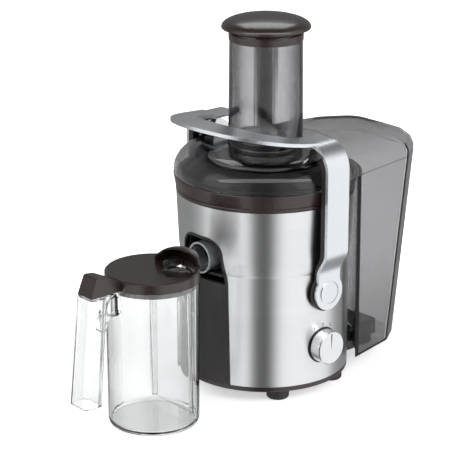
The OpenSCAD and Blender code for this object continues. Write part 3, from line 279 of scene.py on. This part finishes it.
# ---------------------------------------------------------------- bowl
# The filter bowl that catches the juice, with the sleeve round the drive and the sloping pulp ring.
# Moulded ABS, black inside.

dress(grained_black_abs, "bowl", "bowl_sleeve", "pulp_ring")

# ---------------------------------------------------------------- spout
# A grey tube pressed into the bowl's outlet, with a soft seal behind the arch.
# Injection moulded SAN, in a deep tint.


def clear_plastic(name, face, edge, rough, power, gain, **sockets):
    """A polished clear plastic that takes the edge colour where the eye looks along its wall. That is partly
    the longer path through its tint, and partly painted shade for the dark edges that light reflected inside
    the wall gives. A high power keeps that to the very edge, and a high gain makes it deep."""
    cloud_mm, least, spread = 50, 0.8, 0.4
    wave_mm, wave_depth = 12.5, 0.01
    material, tree, surface, place = start_material(name, Roughness=rough, **sockets)
    # The colour darkens towards the edges: partly the longer path through the tint, partly painted shade for
    # dark inner reflections.
    along = add(tree, "ShaderNodeLayerWeight", {"Blend": 0.5}).outputs["Facing"]
    depth = add(tree, "ShaderNodeMath", {0: along, 1: power}, operation="POWER").outputs["Value"]
    cloud = add(tree, "ShaderNodeTexNoise", {"Vector": place, "Scale": 1 / cloud_mm, "Detail": 2.0})
    uneven = add(tree, "ShaderNodeMath", {0: cloud.outputs["Fac"], 1: spread * gain, 2: least * gain},
                 operation="MULTIPLY_ADD").outputs["Value"]
    share = add(tree, "ShaderNodeMath", {0: depth, 1: uneven}, operation="MULTIPLY",
                use_clamp=True).outputs["Value"]
    tint_and_edge_shade = add(tree, "ShaderNodeMix", {"Factor": share, "A": linear(face), "B": linear(edge)},
               data_type="RGBA")
    waves = add(tree, "ShaderNodeTexNoise", {"Vector": place, "Scale": 1 / wave_mm, "Detail": 1.0})
    relief = add(tree, "ShaderNodeBump", {"Height": waves.outputs["Fac"], "Distance": wave_depth * MM,
                                          "Strength": 1.0})
    tree.links.new(tint_and_edge_shade.outputs["Result"], surface.inputs["Base Color"])
    tree.links.new(relief.outputs["Normal"], surface.inputs["Normal"])
    return material


# Polished SAN in a deep grey: it mirrors like dark glass more than it lets light through.
# Its sides darken to a deeper grey, partly from its tint and partly as painted shade for its inner
# reflections.
polished_grey_san = clear_plastic("polished_grey_san", "#C4C7CA", "#5C5F62", 0.06, 2.0, 1.6, IOR=1.6,
                                  Transmission_Weight=0.2, Coat_Weight=1.0, Coat_Roughness=0.04, Metallic=0.6)
finish_edges(polished_grey_san, "spout", 0.5)

# ---------------------------------------------------------------- filter basket
# A cone of stainless mesh, seamed to a rolled rim and to the grater disc that tears the fruit, on a black
# hub. The holes are etched through rolled sheet.

# Etched steel: bright sheet that the fine holes darken to a frosted mid grey, made darker still as painted
# shade, since it lies in the shade under the lid.
shaded_etched_stainless = grained("shaded_etched_stainless", 0.5, 0.01, ("#7E8082", "#929496"), (0.25, 0.4), Metallic=1.0)
dress(shaded_etched_stainless, "mesh_cone", "grater_disc")
finish_edges(shaded_etched_stainless, "basket_rim", 0.3)
dress(grained_black_abs, "basket_hub")

# ---------------------------------------------------------------- collar
# The brown collar round the bowl's mouth, that the lid stands on, and its lower ring on the metal.
# Moulded ABS, polished.

finish_edges(polished_brown_abs, "collar", 0.7)
finish_edges(polished_brown_abs, "collar_foot", 0.5)

# ---------------------------------------------------------------- lid
# One moulding: a clear dome over the basket with the bin's roof behind it.
# Injection moulded SAN, polished on both faces.

# Smoke tinted SAN: glassy, and nearly black where the eye looks along the wall, partly from its tint and
# partly as painted shade for the dark edges of its inner reflections.
# Its index is set under the real 1.57, so that its many faces don't veil what lies behind them.
smoke_san = clear_plastic("smoke_san", "#BCBCBD", "#0F0E0F", 0.04, 2.4, 1.3, IOR=1.36,
                          Transmission_Weight=1.0)
finish_edges(smoke_san, "lid_cover", 0.5)

# ---------------------------------------------------------------- feed chute
# The wide tube that whole fruit goes in by, welded to the lid, with the dark throat under it.
# The tube is moulded SAN; the throat and the rim ring are brown ABS.

# Grey SAN with a thick wall: clear in front, and dark down each side, partly from its tint and partly as
# painted shade for the dark edges of its inner reflections. Its index is lowered as the lid's is.
dark_grey_san = clear_plastic("dark_grey_san", "#DAD9DA", "#0E0D0E", 0.04, 2.6, 3.2, IOR=1.36,
                              Transmission_Weight=1.0)
finish_edges(dark_grey_san, "feed_chute", 0.5)
finish_edges(satin_brown_abs, "feed_throat", 0.5)
finish_edges(polished_brown_abs, "chute_rim", 0.5)

# ---------------------------------------------------------------- pusher
# A hollow clear tube closed at its foot, pressed into a wide brown cap for the palm.
# SAN tube, polished ABS cap.

# Lightly tinted SAN: it adds its own pair of darker sides inside the chute, partly from its tint and partly
# as painted shade for its inner reflections. Its index is lowered too.
clear_grey_san = clear_plastic("clear_grey_san", "#DEDFE0", "#2E3032", 0.04, 2.0, 1.6, IOR=1.36,
                               Transmission_Weight=1.0)
finish_edges(clear_grey_san, "pusher_tube", 0.5)
finish_edges(polished_brown_abs, "pusher_cap", 0.8)

# ---------------------------------------------------------------- locking arm
# A bent strap that swings up over the lid, with the visor plate across its top and a button on each pivot.
# Formed aluminium; brown ABS liners back its legs and pivots, and two black ABS hooks hold the lid.

# Satin aluminium: pale and silky, with faint lines along the strap that the polishing belt leaves.
# The lines are 0.1 mm apart on the real strap; they are drawn 0.5 mm apart to show.
satin_aluminium = grained("satin_aluminium", 0.5, 0.0008, ("#DDE0E4", "#E6E9EC"), (0.24, 0.32),
                          stretch=(1, 1, 0.06), Metallic=1.0)
finish_edges(satin_aluminium, "arm_strap", 1.0, weld_mm=0.35)
finish_edges(satin_aluminium, "pivot_buttons", 0.8)
finish_edges(satin_brown_abs, "arm_liners", 0.6)
finish_edges(grained_black_abs, "arm_hooks", 0.5, weld_mm=0.25)

# ---------------------------------------------------------------- speed knob
# A round knob with a flat face and a milled pointer line.
# Moulded ABS, plated with satin chrome.

# Plated ABS: a bright metal skin that is softer than polished metal.
plated_abs = grained("plated_abs", 0.8, 0.002, ("#DCDFE1", "#E8EAEC"), (0.2, 0.3), Metallic=1.0)
finish_edges(plated_abs, "speed_knob", 0.8)

# ---------------------------------------------------------------- dial marks
# The figures round the knob: 0 for off above it, and the speeds 1 and 2 to each side.
# Pad printed on the steel, in a film about as thick as a hair.

# Pad printing ink: dark grey and matt, so it reads against the bright steel.
printed_ink = grained("printed_ink", 0.3, 0.002, ("#3A3B3D", "#444547"), (0.5, 0.6), IOR=1.5)

knob_low, knob_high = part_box("speed_knob")
dial_z = (knob_low.z + knob_high.z) / 2 / MM
# The drum's widest radius is past its radius behind the knob by this much.
flare = 5.5
steel_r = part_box("body_skin")[1].x / MM - flare
dial_r = 24.5
figure_turn = 30
figure_h = 3.6
stroke_w = 0.55
ink_faces = (-0.1, 0.06)
round_steps = 24


def print_figure(name, turn, stroke):
    """Prints one figure. Its turn is its place round the knob, in degrees, and stroke is its line in figure
    heights from its middle."""
    a = math.radians(turn)
    middle = Vector((dial_r * math.sin(a), dial_z + dial_r * math.cos(a)))
    points = [middle + Vector(point) * figure_h for point in stroke]
    joined = (points[-1] - points[0]).length < stroke_w / 2
    last = len(points) - 1
    form = bmesh.new()
    rows = []
    for k, point in enumerate(points):
        before, after = points[max(k - 1, 0)], points[min(k + 1, last)]
        if joined and k in (0, last):
            before, after = points[-2], points[1]
        along = (after - before).normalized()
        side = Vector((-along.y, along.x)) * stroke_w / 2
        row = []
        for flat in (point - side, point + side):
            for proud in ink_faces:
                out = math.sqrt((steel_r + proud) ** 2 - flat.x ** 2)
                row.append(form.verts.new(axis_foot + Vector((out, flat.x, flat.y)) * MM))
        rows.append(row)
    for here, there in zip(rows, rows[1:]):
        for i, j in ((0, 1), (1, 3), (3, 2), (2, 0)):
            form.faces.new((here[i], here[j], there[j], there[i]))
    for end in (rows[0], rows[-1]):
        form.faces.new((end[0], end[1], end[3], end[2]))
    bmesh.ops.recalc_face_normals(form, faces=form.faces)
    mark = make_piece("mark_" + name, form, printed_ink)
    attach(mark, "base")


print_figure("one", -figure_turn, [(-0.28, 0.3), (0.05, 0.5), (0.05, -0.5)])
print_figure("zero", 0, [(0.3 * math.sin(a), 0.5 * math.cos(a))
                         for a in [k * math.tau / round_steps for k in range(round_steps + 1)]])
print_figure("two", figure_turn, [(-0.28, 0.24), (-0.2, 0.42), (0.0, 0.5), (0.2, 0.42), (0.27, 0.22),
                                  (0.2, 0.02), (-0.3, -0.5), (0.3, -0.5)])

# ---------------------------------------------------------------- pulp bin
# The clear bin that hangs behind the drum, hollow in front to fit round it.
# Smoke tinted SAN like the lid, injection moulded.

finish_edges(smoke_san, "pulp_bin", 0.8)

# ---------------------------------------------------------------- jug
# The juice jug with its long open handle, and the froth separator plate that hangs in its lid.
# Injection moulded SAN, polished.

# Clear SAN: no colour through the wall, and a faint green grey along its edges that is partly its own and
# partly painted shade for its inner reflections.
clear_san = clear_plastic("clear_san", "#F7F8F8", "#3C4240", 0.02, 2.5, 0.9, IOR=1.57,
                          Transmission_Weight=1.0)
finish_edges(clear_san, "jug", 0.6)
finish_edges(clear_san, "froth_separator", 0.4)

# ---------------------------------------------------------------- jug lid
# The lid with its thumb piece, the hood that the spout docks under and the well below it.
# Moulded ABS, polished; the thumb piece has the widest roundings.

thumb_y = -250
thumb_z = 170


def on_thumb_piece(point):
    """Whether a point of the frame lies on the upper part of the thumb piece."""
    at = (point - axis_foot) / MM
    return at.y < thumb_y and at.z > thumb_z


finish_edges(polished_brown_abs, "jug_lid", 0.6, weld_mm=0.05,
             first={"over": math.radians(20), "radius_mm": 2.6, "steps": 4, "picked": on_thumb_piece})

# ---------------------------------------------------------------- table and surround
# A white paper table, and a white surround that the clear plastics are seen against.
# Round metal doesn't mirror either: it mirrors the room, which comes last.


def hide_from(prop, *rays):
    """Keeps a studio prop out of what these kinds of rays meet."""
    for ray in rays:
        setattr(prop, "visible_" + ray, False)


# Matt paper that also glows as painted light: at half strength near the juicer, rising away from it to the
# surround's own white.
table_half = 6000.0
table_drop = 0.2
glow_near, glow_far = 150.0, 600.0
white_paper, tree, surface, place = start_material("white_paper", Base_Color=linear("#FCFCFC"), Roughness=0.9,
                                                   Emission_Color=linear("#FFFFFF"))
from_middle = add(tree, "ShaderNodeVectorMath", {0: place}, operation="LENGTH").outputs["Value"]
glow = add(tree, "ShaderNodeMapRange", {"Value": from_middle, "From Min": glow_near, "From Max": glow_far,
                                        "To Min": 0.5, "To Max": 1.0}, interpolation_type="SMOOTHSTEP")
tree.links.new(glow.outputs["Result"], surface.inputs["Emission Strength"])
form = bmesh.new()
bmesh.ops.create_grid(form, x_segments=2, y_segments=2, size=table_half * MM)
bmesh.ops.translate(form, verts=form.verts, vec=(0, 0, -table_drop * MM))
table = make_piece("table", form, white_paper)
hide_from(table, "glossy")

# Back lit cloth: pure white, with no shading of its own.
surround_r = 20000.0
white_surround = start_material("white_surround", Base_Color=linear("#000000"), Specular_IOR_Level=0.0,
                                Emission_Color=linear("#FFFFFF"), Emission_Strength=1.0)[0]
form = bmesh.new()
bmesh.ops.create_uvsphere(form, u_segments=48, v_segments=24, radius=surround_r * MM)
surround = make_piece("surround", form, white_surround)
hide_from(surround, "glossy", "diffuse", "shadow")

# ---------------------------------------------------------------- flag
# A narrow black card that hangs far behind the chute and only clear plastic shows.
# It draws the dark line down the middle of the tubes, as a studio flag does.

flag_half = 30.0
flag_black_half = 18.0
flag_distance = 500.0
flag_low, flag_high = 60.0, 300.0
away = Vector((-math.sin(eye_turn), math.cos(eye_turn), 0))
across = Vector((math.cos(eye_turn), math.sin(eye_turn), 0))
flag_middle = axis_foot / MM + away * flag_distance

# Black cloth, thinned out towards its sides so that the line has soft edges.
black_flag, tree, surface, place = start_material("black_flag", Base_Color=linear("#000000"),
                                                  Specular_IOR_Level=0.0)
aside = add(tree, "ShaderNodeVectorMath", {0: place, 1: across}, operation="DOT_PRODUCT").outputs["Value"]
off_middle = add(tree, "ShaderNodeMath", {0: aside, 1: flag_middle.dot(across)}, operation="SUBTRACT")
off_middle = add(tree, "ShaderNodeMath", {0: off_middle.outputs["Value"]}, operation="ABSOLUTE")
cover = add(tree, "ShaderNodeMapRange", {"Value": off_middle.outputs["Value"], "From Min": flag_black_half,
                                         "From Max": flag_half, "To Min": 1.0, "To Max": 0.0},
            interpolation_type="SMOOTHSTEP").outputs["Result"]
tree.links.new(cover, surface.inputs["Alpha"])
form = bmesh.new()
corners = [flag_middle + across * side * flag_half + Vector((0, 0, z))
           for side, z in ((-1, flag_low), (1, flag_low), (1, flag_high), (-1, flag_high))]
form.faces.new([form.verts.new(corner * MM) for corner in corners])
flag = make_piece("flag", form, black_flag)
hide_from(flag, "camera", "diffuse", "glossy", "shadow")

# ---------------------------------------------------------------- room
# What shiny surfaces mirror: two tall bright sides that leave a dark gap between them and a dark back,
# so that round metal shows a bright band on each side and a dark one between. It is dim overhead.

# Brightness of the room at each bearing from the camera's side, in degrees, to the right
room_bearings = [(-180, 0.2), (-150, 0.3), (-112, 0.3), (-92, 0.5), (-80, 0.95), (-55, 1.0), (-32, 1.15),
                 (-22, 0.9), (-14, 0.14), (0, 0.04), (8, 0.12), (17, 0.75), (26, 1.15), (60, 1.15), (97, 1.1),
                 (108, 0.5), (125, 0.3), (155, 0.3), (180, 0.2)]
room_strength = 1.2
overhead = (0.12, 0.12, 0.12, 1)
overhead_from, overhead_full = 0.5, 0.85

world = bpy.data.worlds.new("studio")
world.use_nodes = True
tree = world.node_tree
direction = add(tree, "ShaderNodeTexCoord").outputs["Generated"]
way = add(tree, "ShaderNodeSeparateXYZ", {"Vector": direction}).outputs
toward = add(tree, "ShaderNodeMath", {0: way["Y"], 1: -1.0}, operation="MULTIPLY").outputs["Value"]
bearing = add(tree, "ShaderNodeMath", {0: way["X"], 1: toward}, operation="ARCTAN2").outputs["Value"]
bearing = add(tree, "ShaderNodeMath", {0: bearing, 1: eye_turn}, operation="SUBTRACT").outputs["Value"]
bearing = add(tree, "ShaderNodeMath", {0: bearing, 1: math.pi, 2: -math.pi}, operation="WRAP")
share = add(tree, "ShaderNodeMapRange", {"Value": bearing.outputs["Value"], "From Min": -math.pi,
                                         "From Max": math.pi})
ramp = add(tree, "ShaderNodeValToRGB", {"Fac": share.outputs["Result"]})
points = ramp.color_ramp.elements
for k, (degrees, bright) in enumerate(room_bearings):
    # A new ramp already has two points.
    point = points[k] if k < 2 else points.new(degrees / 360 + 0.5)
    point.position = degrees / 360 + 0.5
    point.color = (bright / room_strength, bright / room_strength, bright / room_strength, 1)
height = add(tree, "ShaderNodeMapRange", {"Value": way["Z"], "From Min": overhead_from,
                                          "From Max": overhead_full}).outputs["Result"]
sky = add(tree, "ShaderNodeMix", {"Factor": height, "A": ramp.outputs["Color"], "B": overhead},
          data_type="RGBA")
tree.links.new(sky.outputs["Result"], tree.nodes["Background"].inputs["Color"])
tree.nodes["Background"].inputs["Strength"].default_value = room_strength
bpy.context.scene.world = world

# ---------------------------------------------------------------- soft lights
# Two soft boxes give dull surfaces their light, one to each side of the camera.
# Two more are only mirrored: one behind for the cap's top, and a long strip above for the lid's shoulder.

aim = axis_foot + Vector((0, 0, 200)) * MM


def softbox(name, turn, rise, distance, width, height, watts, mirrored=False):
    """A soft area light for dull surfaces, or one that is only mirrored, aimed at the drum. Its turn is from
    the camera's side, to the right, in degrees, and its sizes are in metres."""
    data = bpy.data.lights.new(name, "AREA")
    data.shape = "RECTANGLE"
    data.size = width
    data.size_y = height
    data.energy = watts
    lamp = bpy.data.objects.new(name, data)
    a = eye_turn + math.radians(turn)
    r = math.radians(rise)
    back = Vector((math.sin(a) * math.cos(r), -math.cos(a) * math.cos(r), math.sin(r)))
    lamp.location = aim + back * distance
    lamp.rotation_mode = "QUATERNION"
    lamp.rotation_quaternion = (-back).to_track_quat("-Z", "Y")
    if mirrored:
        hide_from(lamp, "diffuse", "transmission")
    else:
        hide_from(lamp, "glossy")
    bpy.context.scene.collection.objects.link(lamp)


softbox("softbox_left", -62, 25, 1.6, 1.1, 1.6, 15)
softbox("softbox_right", 58, 25, 1.6, 1.1, 1.6, 17)
softbox("softbox_back", 180, 54, 1.8, 1.0, 0.7, 7, mirrored=True)
softbox("softbox_top", 4, 50, 1.8, 5.0, 0.5, 36, mirrored=True)
bpy.context.scene.view_settings.view_transform = "Standard"
